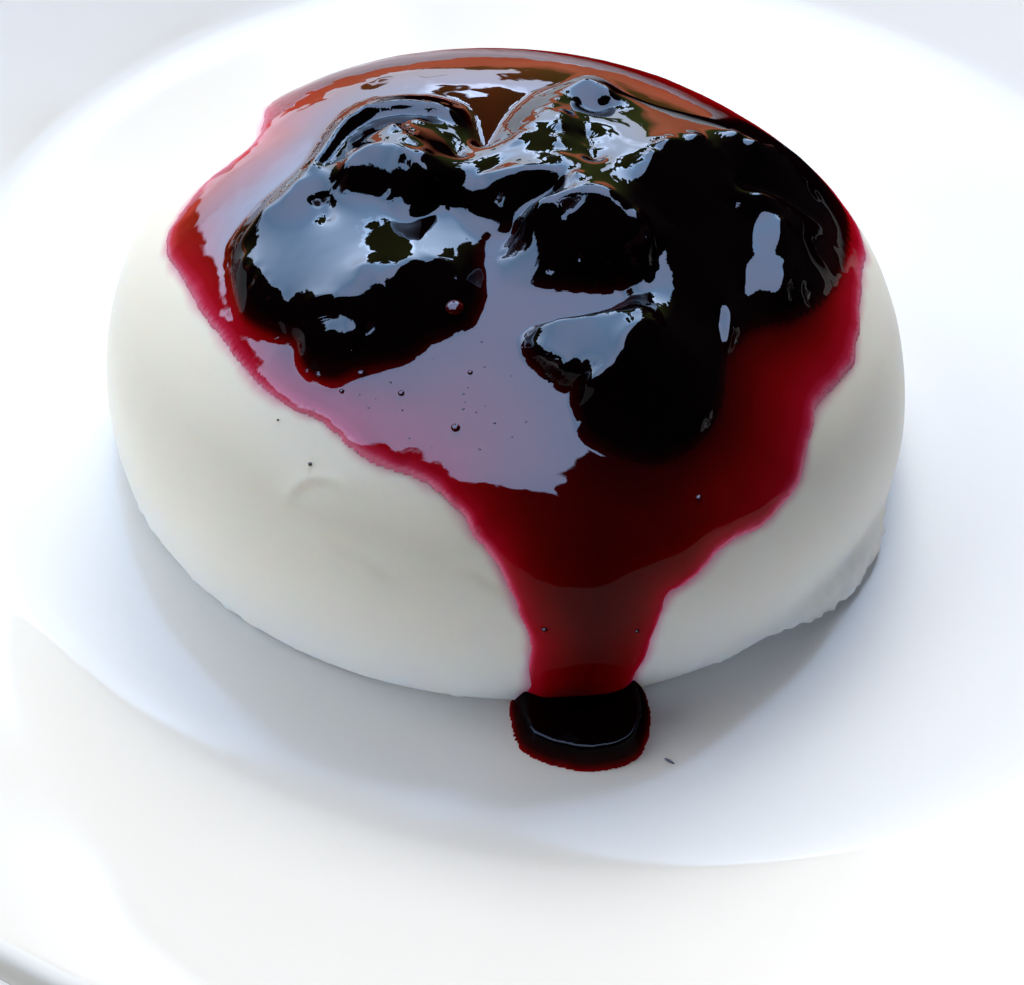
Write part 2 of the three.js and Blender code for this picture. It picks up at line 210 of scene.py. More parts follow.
def make_world():
    """What the wet surfaces mirror, and the even backdrop that the camera sees past the table."""
    world = bpy.data.worlds.new("studio")
    world.use_nodes = True
    tree = world.node_tree
    tree.nodes.clear()
    way = add_node(tree, "ShaderNodeTexCoord").outputs["Generated"]
    parts = add_node(tree, "ShaderNodeSeparateXYZ", inputs={0: way}).outputs
    leaves = add_node(tree, "ShaderNodeTexNoise", inputs={"Vector": way, **LEAF_NOISE}).outputs["Fac"]
    ragged = remap(tree, leaves, 0.3, 0.7, -0.5, 0.5)
    from_trunk = compute_vector(tree, "SUBTRACT", way, TREE_PLACE)
    stretched = compute_vector(tree, "MULTIPLY", from_trunk, TREE_STRETCH)
    reach = compute_vector(tree, "LENGTH", stretched, output="Value")
    torn_reach = compute(tree, "MULTIPLY_ADD", ragged, TREE_RAGGEDNESS, reach)
    in_window = remap(tree, torn_reach, *TREE_EDGE, smooth=True)
    for edge, limit, raggedness in WINDOW_EDGES:
        along = compute_vector(tree, "DOT_PRODUCT", way, edge, output="Value")
        torn = compute(tree, "MULTIPLY_ADD", ragged, raggedness, along)
        side = remap(tree, torn, limit - WINDOW_SOFTNESS, limit + WINDOW_SOFTNESS, smooth=True)
        in_window = compute(tree, "MULTIPLY", in_window, side)
    torn_height = compute(tree, "MULTIPLY_ADD", ragged, BAND_RAGGEDNESS, parts["Z"])
    band = add_node(tree, "ShaderNodeValToRGB", inputs={"Fac": remap(tree, torn_height, -1, 1)})
    fill_ramp(band, BAND_COLOURS)
    behind = remap(tree, parts["Y"], *BAND_SPREAD, high=BAND_GAIN)
    not_right = remap(tree, parts["X"], BAND_RIGHT[1], BAND_RIGHT[0])
    shown_band = compute(tree, "MULTIPLY", behind, not_right)
    outside = compute_vector(
        tree, "MULTIPLY_ADD", band.outputs["Color"], shown_band, linear(ROOM_COLOUR)[:3]
    )
    haze = add_node(tree, "ShaderNodeValToRGB", inputs={"Fac": parts["Z"]})
    fill_ramp(haze, SKY_COLOURS)
    glow = remap(tree, torn_reach, 1.0, TREE_GLOW[1], SKY_GAIN * TREE_GLOW[0], SKY_GAIN, smooth=True)
    sky = add_node(
        tree,
        "ShaderNodeVectorMath",
        {"operation": "SCALE"},
        {0: haze.outputs["Color"], "Scale": glow},
    )
    mirrored = blend(tree, in_window, outside, sky.outputs["Vector"])
    ray = add_node(tree, "ShaderNodeLightPath").outputs
    seen = blend(tree, ray["Is Glossy Ray"], linear(ROOM_COLOUR), mirrored)
    shown = blend(tree, ray["Is Camera Ray"], seen, linear(BACKDROP_COLOUR))
    background = add_node(tree, "ShaderNodeBackground", inputs={"Color": shown})
    add_node(tree, "ShaderNodeOutputWorld", inputs={"Surface": background.outputs["Background"]})
    bpy.context.scene.world = world


make_world()
bpy.context.scene.view_settings.view_transform = "Standard"

# ---- The floor ----
# A plain pale table top, wide enough to lie under every view. It is painted board, matt and even.

FLOOR_SIZE = 14000
FLOOR_COLOUR = "eef2f7"
PAINT_MOTTLE = 1000 / 6  # millimetres


def new_material(name):
    """An empty node material, with the tree and the shader that everything in it feeds."""
    material = bpy.data.materials.new(name)
    material.use_nodes = True
    tree = material.node_tree
    tree.nodes.clear()
    shader = add_node(tree, "ShaderNodeBsdfPrincipled")
    add_node(tree, "ShaderNodeOutputMaterial", inputs={"Surface": shader.outputs["BSDF"]})
    return material, tree, shader


def mottled(tree, size, detail=2.0):
    """Noise with swells of the given size in millimetres, over the object's own coordinates."""
    place = add_node(tree, "ShaderNodeTexCoord").outputs["Object"]
    inputs = {"Vector": place, "Scale": 1 / (size * METRES), "Detail": detail}
    return add_node(tree, "ShaderNodeTexNoise", inputs=inputs).outputs["Fac"]


def bumped(tree, height, strength, depth):
    """The normal that a relief of the given depth in millimetres gives."""
    inputs = {"Height": height, "Strength": strength, "Distance": depth * METRES}
    return add_node(tree, "ShaderNodeBump", inputs=inputs).outputs["Normal"]


def finish_shader(shader, **inputs):
    """Sets the shader's inputs, each a value or the output it links from. Underscores stand for spaces."""
    for key, value in inputs.items():
        socket = shader.inputs[key.replace("_", " ")]
        if isinstance(value, bpy.types.NodeSocket):
            shader.id_data.links.new(value, socket)
        else:
            socket.default_value = value


def new_piece(name, bm, material):
    """Writes a finished bmesh out as a smooth object in metres, at the origin."""
    bmesh.ops.scale(bm, vec=(METRES, METRES, METRES), verts=bm.verts)
    mesh = bpy.data.meshes.new(name)
    bm.to_mesh(mesh)
    bm.free()
    mesh.polygons.foreach_set("use_smooth", [True] * len(mesh.polygons))
    mesh.materials.append(material)
    piece = bpy.data.objects.new(name, mesh)
    bpy.context.scene.collection.objects.link(piece)
    return piece


# Painted board, matt and a little mottled. It glows faintly so that it stays pale past the plate.
table_paint, paint_tree, paint = new_material("matt_painted_board")
paint_mottle = mottled(paint_tree, PAINT_MOTTLE)
finish_shader(
    paint,
    Base_Color=blend(paint_tree, paint_mottle, linear("a6abb2"), linear("a1a7ae")),
    Roughness=0.6,
    Emission_Color=linear(FLOOR_COLOUR),
    Emission_Strength=0.6,
    Specular_IOR_Level=0.0,
)
floor_bm = bmesh.new()
bmesh.ops.create_grid(floor_bm, x_segments=4, y_segments=4, size=FLOOR_SIZE / 2)
floor = new_piece("table_top", floor_bm, table_paint)
floor.visible_glossy = False  # wet surfaces mirror the darker room here

# ---- The plate ----
# A coupe-shaped dessert plate of glazed white porcelain on a foot ring. It is one turned section. The ring's
# ground edge is the only place without glaze.

PLATE_RADIUS = 103
WELL_RADIUS = 70.5
WELL_HEIGHT = 6.5
RIM_HEIGHT = 20
PLATE_THICKNESS = 4.2
FOOT_RADIUS = 62
FOOT_WIDTH = 5
FOOT_HOLLOW = 2.3
PLATE_STEPS = 224
PORCELAIN_COLOUR = "f2f2f1"
BISCUIT_COLOUR = "d8d3c8"
BISCUIT_HEIGHT = 0.25  # how far up the ground foot edge is bare


def bend(start, control, end, steps):
    """Points along a quadratic curve, without its first."""
    shares = [i / steps for i in range(1, steps + 1)]
    return [
        tuple((1 - t) ** 2 * a + 2 * t * (1 - t) * b + t * t * c for a, b, c in zip(start, control, end))
        for t in shares
    ]


def straight(start, end, steps):
    """Points along a line, without its first."""
    return [tuple(a + (b - a) * i / steps for a, b in zip(start, end)) for i in range(1, steps + 1)]


def plate_section():
    """The plate's section from the axis under the foot, out over the rim and back to the axis."""
    inner = FOOT_RADIUS - FOOT_WIDTH / 2
    outer = FOOT_RADIUS + FOOT_WIDTH / 2
    edge = PLATE_THICKNESS * 0.34
    under_edge = (PLATE_RADIUS - edge, RIM_HEIGHT - PLATE_THICKNESS * 0.8)
    under_well = (WELL_RADIUS + 12, FOOT_HOLLOW + 4.6)
    lip = (PLATE_RADIUS - edge, RIM_HEIGHT)
    well_edge = (WELL_RADIUS, WELL_HEIGHT + 0.5)
    points = [(0, FOOT_HOLLOW)]
    points += straight(points[-1], (inner - 1.6, FOOT_HOLLOW), 10)
    points += bend(points[-1], (inner - 0.6, FOOT_HOLLOW), (inner - 0.2, 1.0), 4)
    points += bend(points[-1], (inner, 0), (inner + 1.4, 0), 4)
    points += straight(points[-1], (outer - 1.4, 0), 2)
    points += bend(points[-1], (outer, 0), (outer + 0.4, 1.0), 4)
    points += bend(points[-1], (outer + 0.8, FOOT_HOLLOW), (outer + 3, FOOT_HOLLOW + 0.1), 4)
    points += bend(points[-1], (WELL_RADIUS + 4, FOOT_HOLLOW + 0.6), under_well, 8)
    points += straight(points[-1], under_edge, 8)
    points += bend(points[-1], (PLATE_RADIUS + edge, RIM_HEIGHT - edge), lip, 10)
    points += bend(points[-1], (WELL_RADIUS + 14, WELL_HEIGHT + 6.5), well_edge, 24)
    points += bend(points[-1], (WELL_RADIUS - 2.2, WELL_HEIGHT), (WELL_RADIUS - 7, WELL_HEIGHT), 8)
    points += straight(points[-1], (0, WELL_HEIGHT), 14)
    return points


def turn_section(section, steps, distances=None):
    """A closed solid of revolution. The distances, if given, stay with the points as a vertex layer."""
    bm = bmesh.new()
    layer = bm.verts.layers.float.new("distance")
    chain = [bm.verts.new((radius, 0, height)) for radius, height in section]
    for vertex, distance in zip(chain, distances or [0] * len(chain)):
        vertex[layer] = distance
    edges = [bm.edges.new(pair) for pair in zip(chain, chain[1:])]
    bmesh.ops.spin(
        bm, geom=chain + edges, cent=(0, 0, 0), axis=(0, 0, 1), angle=2 * math.pi, steps=steps, use_merge=True
    )
    bmesh.ops.remove_doubles(bm, verts=bm.verts, dist=0.0005)
    bmesh.ops.recalc_face_normals(bm, faces=bm.faces)
    return bm


# Glazed porcelain: white body under a thin clear glaze, which mirrors softly and has a faint long ripple.
GLAZE_RIPPLE = 14  # millimetres from one swell of the glaze to the next
porcelain, glaze_tree, glaze = new_material("glazed_porcelain")
glaze_coordinates = add_node(glaze_tree, "ShaderNodeTexCoord")
glaze_place = add_node(glaze_tree, "ShaderNodeSeparateXYZ", inputs={0: glaze_coordinates.outputs["Object"]})
bare_height = BISCUIT_HEIGHT * METRES
bare_foot = remap(glaze_tree, glaze_place.outputs["Z"], bare_height, bare_height * 1.6, 1.0, 0.0)
finish_shader(
    glaze,
    Base_Color=blend(glaze_tree, bare_foot, linear(PORCELAIN_COLOUR), linear(BISCUIT_COLOUR)),
    Roughness=remap(glaze_tree, bare_foot, 0.0, 1.0, 0.1, 0.8),
    Normal=bumped(glaze_tree, mottled(glaze_tree, GLAZE_RIPPLE, 1.0), 0.2, 0.05),
    IOR=1.5,
    Specular_IOR_Level=0.14,
)

plate = new_piece("plate_glazed", turn_section(plate_section(), PLATE_STEPS), porcelain)
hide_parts("plate")
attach(plate, "root")

# ---- The panna cotta ----
# Set cream turned out of a round mould: a domed top that rolls over a soft shoulder into a bulging wall. It
# has slumped a little to the left, and its foot is torn where it came away from the mould.

BASE_RADIUS = 40
BELLY_RADIUS = 40.7
BELLY_HEIGHT = 6.9
SHOULDER_RADIUS = 38
SHOULDER_HEIGHT = 16.4
CREAM_HEIGHT = 29
DOME_FULLNESS = 2.42
DOME_SHOULDER = 1.22
LEAN = -1.0
LIP_ANGLE = -33
LIP_SPREAD = 12
LIP_REACH = 1.9
LIP_HEIGHT = 3.2
LINE_STEP = 0.1  # spacing of the points of the mould line
LINE_SOFTENING = 1.5  # length over which the mould line's bends are rounded
CREAM_ROW = 0.38
CREAM_STEPS = 450


def mould_line():
    """Length, radius, height and outward direction at even steps down the surface, from apex to plate."""
    turn = np.linspace(0, math.pi / 2, 900)
    dome_radius = SHOULDER_RADIUS * np.sin(turn)
    fall = np.clip(1 - (dome_radius / SHOULDER_RADIUS) ** DOME_FULLNESS, 0, 1)
    dome_height = SHOULDER_HEIGHT + (CREAM_HEIGHT - SHOULDER_HEIGHT) * fall ** (1 / DOME_SHOULDER)
    levels = [0, BELLY_HEIGHT, SHOULDER_HEIGHT]
    bulge = np.polyfit(levels, [BASE_RADIUS, BELLY_RADIUS, SHOULDER_RADIUS], 2)
    wall_height = np.linspace(SHOULDER_HEIGHT, 0, 400)[1:]
    radius = np.concatenate([dome_radius, np.polyval(bulge, wall_height)])
    height = np.concatenate([dome_height, wall_height])
    length = np.concatenate([[0], np.cumsum(np.hypot(np.diff(radius), np.diff(height)))])
    steps = np.arange(0, length[-1], LINE_STEP)
    radius, height = np.interp(steps, length, radius), np.interp(steps, length, height)
    reach = round(LINE_SOFTENING / LINE_STEP)
    window = np.hanning(2 * reach + 1)
    window /= window.sum()
    onward = np.arange(1, reach + 1)
    radius_on = radius[-1] + onward * (radius[-1] - radius[-2])
    height_on = height[-1] + onward * (height[-1] - height[-2])
    radius_on = np.concatenate([-radius[reach:0:-1], radius, radius_on])
    height_on = np.concatenate([height[reach:0:-1], height, height_on])
    radius = np.convolve(radius_on, window, "valid")
    height = np.convolve(height_on, window, "valid")
    along_radius, along_height = np.gradient(radius), np.gradient(height)
    stretch = np.hypot(along_radius, along_height)
    return steps, radius, height, -along_height / stretch, along_radius / stretch


LINE_LENGTH, LINE_RADIUS, LINE_HEIGHT, LINE_OUT, LINE_UP = mould_line()


def over_cream(east, north, raised):
    """Points raised off the cream at places on its flat map. The map keeps angles round the apex, and
    distances from the apex over the surface."""
    distance = np.hypot(east, north)
    angle = np.arctan2(north, east)
    lines = (LINE_RADIUS, LINE_HEIGHT, LINE_OUT, LINE_UP)
    radius, height, out, up = (np.interp(distance, LINE_LENGTH, line) for line in lines)
    radius = np.maximum(radius + out * raised, 0)
    height = height + up * raised
    lean = LEAN * height / CREAM_HEIGHT
    return np.stack([radius * np.cos(angle) + lean, radius * np.sin(angle), height], axis=-1)


def noise_at(points, size, seed):
    """Smooth noise from about -1 to 1, with swells of the given size, at an array of points."""
    shift = Vector((seed * 7.31, seed * 3.77, seed * 5.13))
    return np.array([noise.noise(Vector(point) / size + shift) for point in points])


# The outline of the sauce on the cream's flat map, which also says where the cream gets its painted pink
# glow.
SAUCE_OUTLINE = [
    (36.8, 1.9), (35.9, -5), (34.8, -12.7), (31, -19.3), (30.2, -25.2), (29.7, -28.1), (27.2, -32.4),
    (23, -36), (20.8, -39.7), (18.6, -42.3), (18.2, -46.5), (18.6, -49.2), (18.4, -51.6), (19, -54),
    (19.3, -57), (5.6, -57.4), (5.3, -54.9), (4.9, -51.3), (4.7, -48.8), (3.8, -46.6), (2.7, -44.7),
    (1.5, -42.3), (0, -40), (-1.5, -38.4), (-2.6, -36.7), (-4.9, -34.6), (-8, -33), (-11.5, -31.7),
    (-15.6, -28.2), (-22.3, -23.9), (-28, -15.5), (-31.9, -9.2), (-35, -1.8), (-32.2, 4.9),
    (-27, 10.2), (-26.8, 15.5), (-27.3, 23), (-23.9, 28.8), (-15.7, 33.7), (-1.3, 36.4), (14.1, 34.9),
    (28.4, 25.6), (33.3, 21.2), (37.2, 13.5), (38, 7),
]


def closed_curve(corners, pieces):
    """A smooth closed curve through the corners, each stretch cut into the given number of pieces."""
    points = np.array(corners, float)
    before, after, beyond = np.roll(points, 1, 0), np.roll(points, -1, 0), np.roll(points, -2, 0)
    stretches = []
    for i in range(pieces):
        t = i / pieces
        stretches.append(
            0.5
            * (
                2 * points
                + (after - before) * t
                + (2 * before - 5 * points + 4 * after - beyond) * t**2
                + (3 * points - before - 3 * after + beyond) * t**3
            )
        )
    return np.stack(stretches, 1).reshape(-1, 2)


def distance_inside(east, north, curve):
    """How far each place lies inside a closed curve, negative outside it."""
    tree = KDTree(len(curve))
    for i, (x, y) in enumerate(curve):
        tree.insert((x, y, 0), i)
    tree.balance()
    flat_east, flat_north = np.ravel(east), np.ravel(north)
    nearest = np.array([tree.find((x, y, 0))[2] for x, y in zip(flat_east, flat_north)])
    crossings = np.zeros(len(flat_east), int)
    for (x0, y0), (x1, y1) in zip(curve, np.roll(curve, -1, 0)):
        spans = (y0 > flat_north) != (y1 > flat_north)
        if spans.any():
            crossing = x0 + (flat_north - y0) * (x1 - x0) / (y1 - y0)
            crossings += spans & (flat_east < crossing)
    return np.where(crossings % 2 == 1, nearest, -nearest).reshape(np.shape(east))


outline = closed_curve(SAUCE_OUTLINE, 14)

PAINTED_GLOW_REACH = 1.3  # how far the painted pink glow of the sauce's light reaches into the cream beyond the sauce
MOULD_MARK = {"distance": 43.3, "angle": -98, "spread": 13, "height": 0.1, "edge": 0.35, "reach": 2}
FOLD = {
    "east": -16.7,
    "north": -35.7,
    "length": 3.0,
    "width": 2.2,
    "height": 0.3,
    "edge": 0.07,
    "fade": 0.6,
}
TORN_FOOT = {"height": 1.1, "depth": 0.5}


def cream_dents(distance, angle, places):
    """How far the surface stands proud of the mould line: slumping, the mould's mark, a fold, a torn foot."""
    degrees = np.degrees(angle)
    height = np.interp(distance, LINE_LENGTH, LINE_HEIGHT)
    proud = 0.14 * noise_at(places, 13, 1) + 0.02 * noise_at(places, 2.6, 2)
    wave = MOULD_MARK["distance"] + 0.7 * np.sin(degrees * 0.35) + 0.3 * np.sin(degrees * 0.9)
    window = np.exp(-(((degrees - MOULD_MARK["angle"]) / MOULD_MARK["spread"]) ** 4))
    step = np.tanh((distance - wave) / MOULD_MARK["edge"])
    fade = np.exp(-(((distance - wave) / MOULD_MARK["reach"]) ** 2))
    proud += MOULD_MARK["height"] * window * step * fade
    east = (distance * np.cos(angle) - FOLD["east"]) / FOLD["length"]
    north = (distance * np.sin(angle) - FOLD["north"]) / FOLD["width"]
    beyond = np.hypot(east, north) - 1
    flap = (1 + np.tanh(beyond / FOLD["edge"])) / 2
    flap *= np.exp(-np.maximum(beyond, 0) * FOLD["width"] / FOLD["fade"])
    proud += FOLD["height"] * flap * np.clip(north + 0.2, 0, 1)
    across = (degrees - LIP_ANGLE) / LIP_SPREAD
    lip = LIP_REACH * np.exp(-(across**4)) * np.exp(-((height / LIP_HEIGHT) ** 4))
    foot = np.exp(-((height / TORN_FOOT["height"]) ** 2))
    rough = noise_at(places, 1.3, 3) + 0.6 * noise_at(places, 0.6, 4)
    return proud + lip * (1 + 0.3 * rough) + foot * TORN_FOOT["depth"] * rough


def make_cream():
    """The turned cream with its dents, and how much painted pink glow it has at each vertex."""
    rows = np.arange(0, LINE_LENGTH[-1] - 0.5, CREAM_ROW)
    section = [(0, LINE_HEIGHT[0])]
    radii, heights = (np.interp(rows[1:], LINE_LENGTH, line) for line in (LINE_RADIUS, LINE_HEIGHT))
    section += list(zip(radii, heights))
    foot = (BASE_RADIUS - 0.9, 0)
    section += bend(section[-1], (BASE_RADIUS - 0.05, 0), foot, 3)
    section += straight(foot, (0, 0), 5)
    under = [-1.0] * (len(section) - len(rows))
    bm = turn_section(section, CREAM_STEPS, list(rows) + under)
    layer = bm.verts.layers.float["distance"]
    painted_glow_layer = bm.verts.layers.float.new("painted_glow")
    bm.verts.ensure_lookup_table()
    skin = [v for v in bm.verts if v[layer] >= 0]
    distance = np.array([v[layer] for v in skin])
    angle = np.array([math.atan2(v.co.y, v.co.x) for v in skin])
    east, north = distance * np.cos(angle), distance * np.sin(angle)
    proud = cream_dents(distance, angle, [v.co.copy() for v in skin])
    placed = over_cream(east, north, proud)
    # Painted glow: the cream turns pink inside the sauce's outline and fades out just beyond it.
    inside_sauce = distance_inside(east, north, outline)
    blotches = 1 + 0.5 * noise_at(placed, 2.2, 5)
    painted_glow = np.clip(1 + inside_sauce / (PAINTED_GLOW_REACH * blotches), 0, 1)
    for vertex, place, amount in zip(skin, placed, painted_glow):
        vertex.co = place
        vertex[painted_glow_layer] = amount
    bmesh.ops.translate(bm, vec=CREAM_PLACE - Vector((0, 0, 0.25)), verts=bm.verts)
    return bm


# Set double cream: dense milk fat, so light spreads a few millimetres inside it. The skin is smooth from the
# mould, with a low wet sheen. Along the sauce it is painted pink, a painted glow standing in for the sauce's
# red light spreading in the cream.
CREAM_MOTTLE = 5  # millimetres
CREAM_PORES = 0.35
cream_fat, cream_tree, cream_skin = new_material("set_cream")
painted_glow = add_node(cream_tree, "ShaderNodeAttribute", {"attribute_name": "painted_glow"})
glow_share = compute(cream_tree, "POWER", painted_glow.outputs["Fac"], 1.6)
cream_mottle = mottled(cream_tree, CREAM_MOTTLE, 4.0)
cream_plain = blend(cream_tree, cream_mottle, linear("f4f3ec"), linear("f1f0e7"))
finish_shader(
    cream_skin,
    # Painted glow: pink along the sauce stands in for red light that spreads from the sauce into the cream.
    Base_Color=blend(cream_tree, glow_share, cream_plain, linear("dc8aa6")),
    Normal=bumped(cream_tree, mottled(cream_tree, CREAM_PORES), 0.12, 0.03),
    Roughness=0.34,
    IOR=1.4,
    Specular_IOR_Level=0.12,
    Subsurface_Weight=0.6,
    Subsurface_Radius=(1.0, 0.75, 0.55),
    Subsurface_Scale=1.7 * METRES,
)

cream = new_piece("cream", make_cream(), cream_fat)
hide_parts("panna_cotta")
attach(cream, "root")

# ---- The heap ----
# Berries and thick sauce have settled into one heap of crests and blunt fronts. Its surface is a skin on the
# cream's flat map, stretched over the crests and pinned at the feet. The berries reach up to it, and the
# sauce coats it.

SURFACE_CELL = 0.3
MAP_EAST = (-42, 42.01)  # how far the grid reaches over the flat map
MAP_NORTH = (-60, 42.01)
FILM_DEPTH = 1.15
FILM_RISE = 9.0  # distance from the edge over which the film thickens
FRONT = {"east": -6, "north": -35, "blend": 8}  # the front lies right of and before these
FRONT_RISE = 1.7  # the same along the front, where the sauce piles up before it runs down
JUICE_DEPTH = 1.7  # how deep the clear juice looks in the film
JUICE_RISE = 6.0  # distance from the edge over which it deepens
FRONT_JUICE_RISE = 3.2  # the same along the front
EDGE_WAVES = [(0.35, 3.1), (0.14, 1.2)]  # how far the edge strays, and the size of its swells
EDGE_SINK = 0.3  # how far the sheet's hidden edge lies inside the cream
# The heap's lines are placed in an enlarged part of the camera's picture, and carried back to the
# cream from there.
PICTURE_SIZE = (1024, 985)  # pixels
CLOSE_VIEW = {"left": 160, "top": 30, "scale": 0.4718}  # the part's corner and its pixels' size
HEAP_STAND = 1.0  # how far the film lifts the heap off the cream
AIM_ROUNDS = 14  # rounds of aiming at a place in the picture
AIM_STEP = 0.05
AIM_REACH = 5  # the furthest that one round moves
# Where the heap meets the open film: right and down in the close view.
HEAP_OUTLINE = [
    (143, 470), (150, 440), (195, 385), (250, 338), (290, 303), (322, 265), (350, 215), (372, 185),
    (420, 152), (480, 143), (535, 140), (580, 143), (625, 157), (655, 175), (672, 230), (690, 262),
    (712, 230), (740, 185), (790, 140), (850, 118), (880, 98), (930, 94), (975, 130), (1040, 165),
    (1100, 180), (1160, 190), (1190, 183), (1240, 183), (1318, 227), (1394, 289), (1462, 370), (1472, 460),
    (1445, 535), (1370, 605), (1280, 632), (1215, 662), (1205, 700), (1200, 770), (1180, 835), (1135, 888),
    (1060, 926), (990, 918), (930, 888), (885, 853), (878, 800), (878, 760), (850, 748), (790, 703),
    (760, 668), (770, 652), (800, 640), (840, 628), (890, 618), (950, 607), (988, 585), (985, 560),
    (965, 545), (940, 549), (850, 553), (790, 550), (730, 544), (718, 515), (720, 488), (750, 440),
    (738, 434), (700, 440), (686, 470), (682, 520), (686, 565), (674, 604), (662, 636), (620, 650),
    (572, 666), (530, 701), (450, 716), (410, 726), (372, 746), (325, 740), (290, 702), (292, 658),
    (250, 650), (205, 634), (168, 609), (158, 580), (152, 540),
]
# The crests, and the feet between them: right, down, and the height over the film in millimetres.
HEAP_LINES = {
    "left rim": [
        (160, 462, 0.9), (172, 438, 1.9), (210, 393, 2.7), (262, 350, 3.2), (302, 316, 3.2),
        (337, 276, 3.2), (367, 226, 3.2), (388, 196, 3.2), (430, 165, 3), (480, 155, 2.8), (530, 152, 2.8),
        (575, 156, 2.6), (612, 168, 2.2), (636, 188, 1.4),
    ],
    "left rim foot": [
        (350, 300, 2), (382, 252, 1.9), (415, 214, 1.8), (450, 192, 1.7), (490, 184, 1.6), (530, 182, 1.6),
        (575, 186, 1.5), (610, 198, 1.3),
    ],
    "front left lobe": [(306, 655, 1.2), (328, 632, 1.9), (372, 626, 2.3), (410, 650, 2)],
    "front left notch": [(312, 620, 1.5), (345, 604, 2.1), (388, 604, 2.5)],
    "left front": [
        (172, 482, 1.9), (197, 497, 2.3), (222, 538, 2.3), (272, 578, 2.1), (300, 582, 2.4),
        (345, 566, 3.3), (405, 562, 3.6), (425, 502, 3.8), (445, 492, 3.8), (475, 545, 3.7),
        (500, 510, 3.6), (520, 492, 3.3), (560, 483, 2.6), (600, 488, 1.9), (634, 512, 1.5),
        (652, 548, 1.2),
    ],
    "saddle": [(618, 380, 0.8), (640, 412, 0.5), (662, 445, 0.25)],
    "left crest": [
        (392, 292, 4.6), (418, 252, 5.1), (470, 240, 5.5), (500, 238, 5.7), (540, 270, 5.5),
        (570, 296, 4.9), (602, 318, 3.6),
    ],
    "left crest foot": [
        (384, 335, 2.7), (420, 358, 2.1), (470, 366, 1.9), (490, 398, 1.6), (520, 416, 1.4),
        (570, 398, 0.9), (606, 354, 1.2),
    ],
    "back arc": [
        (490, 192, 4.8), (520, 215, 5), (558, 268, 5), (600, 300, 3.8), (650, 315, 2.8), (700, 311, 2.6),
        (740, 272, 2.9), (762, 230, 3), (800, 190, 3), (832, 160, 2.6), (850, 142, 2.2),
    ],
    "back hollow": [(548, 196, 2.8), (590, 215, 2), (625, 245, 1.3), (632, 280, 1.4)],
    "middle crest": [(668, 336, 2.4), (700, 302, 3.4), (760, 296, 4.2), (812, 298, 4.4), (846, 316, 4.2)],
    "middle crest foot": [
        (676, 404, 0.5), (740, 430, 0.4), (764, 400, 1.2), (802, 370, 1.8), (838, 345, 2.6),
    ],
    "plateau front": [
        (778, 398, 3.4), (800, 370, 4.6), (830, 350, 5.2), (870, 340, 5.8), (905, 330, 6), (940, 340, 6),
        (985, 370, 5.8), (1030, 420, 5), (1045, 458, 4.2),
    ],
    "back peak": [(872, 128, 2.2), (898, 108, 2.9), (935, 114, 3.2), (960, 142, 3)],
    "back peak foot": [(884, 165, 1.4), (918, 182, 1.2), (950, 178, 1.2)],
    "plateau left": [(850, 172, 3.4), (846, 230, 3.8), (850, 280, 4.2), (872, 312, 5.2)],
    "plateau left foot": [(892, 190, 2.2), (906, 235, 2.2), (918, 285, 3)],
    "plateau back": [
        (1012, 345, 4.6), (1028, 300, 5), (1045, 260, 5.4), (1082, 228, 5.5), (1140, 228, 4.9),
        (1188, 262, 4.2),
    ],
    "plateau back foot": [(1062, 404, 2.9), (1130, 434, 2.3), (1180, 424, 1.9), (1212, 372, 1.9)],
    "right back crest": [
        (1168, 224, 4), (1220, 214, 4.6), (1262, 236, 4.8), (1320, 260, 3.4), (1362, 304, 1.9),
        (1386, 348, 0.9),
    ],
    "right back foot": [(1225, 335, 1.9), (1280, 345, 1.8), (1340, 372, 1.2), (1396, 402, 0.4)],
    "right crest": [
        (1190, 350, 2.8), (1240, 352, 3.2), (1290, 352, 3.2), (1348, 388, 2.1), (1392, 430, 0.8),
        (1402, 480, 0.4),
    ],
    "first right dip": [(1258, 398, 1.7), (1252, 460, 1.3)],
    "first right swell": [(1318, 402, 3), (1314, 455, 2.6)],
    "second right dip": [(1236, 498, 0.8), (1230, 565, 0.3)],
    "second right swell": [(1338, 492, 2.5), (1325, 556, 1.9)],
    "right step foot": [(1180, 600, 0.6), (1192, 660, 0.4)],
    "right step": [(1210, 592, 1.5), (1214, 664, 1.2)],
    "channel": [(1046, 480, 1.8), (1044, 520, 1.4), (1042, 556, 1.2)],
    "channel ridge": [(1140, 480, 2.1), (1145, 540, 1.7), (1145, 620, 1.1)],
    "front berry left": [(785, 672, 1.1), (802, 672, 1.6), (850, 716, 2), (880, 738, 2.4)],
    "front berry back": [
        (800, 627, 1.4), (840, 614, 2.2), (890, 604, 2.9), (975, 596, 3.9), (1028, 586, 4.4),
    ],
    "front berry crest": [
        (893, 752, 2.8), (920, 734, 3.6), (958, 716, 4.2), (986, 690, 4.8), (988, 650, 5), (1010, 626, 5),
        (1040, 615, 4.6), (1095, 650, 3), (1150, 720, 1.6),
    ],
    "front berry foot": [(1150, 820, 0.9), (1100, 872, 0.8)],
    "pit": [(350, 378, 1.4), (356, 410, 1.5)],
}
TONGUE_FULL = -50  # below this the tongue stays as deep as it is here, where it runs into the pool
HEAP_JUICE = 1.5  # how much deeper the juice looks as soon as there are berries under it
GATHERED_JUICE = 0.35  # how much deeper the juice looks round the heap
GATHERED_REACH = 5.0
HEAP_FULLNESS = 0.88  # below one, a front bulges between its crest and its foot
HEAP_TALLEST = 6.5
CREST_STRAY = 0.3  # how far a crest wanders
CREST_WOBBLE = 0.16  # how much its height varies
SETTLING_LEVELS = 4
SETTLING_ROUNDS = 120
SMOOTHING_ROUNDS = 3


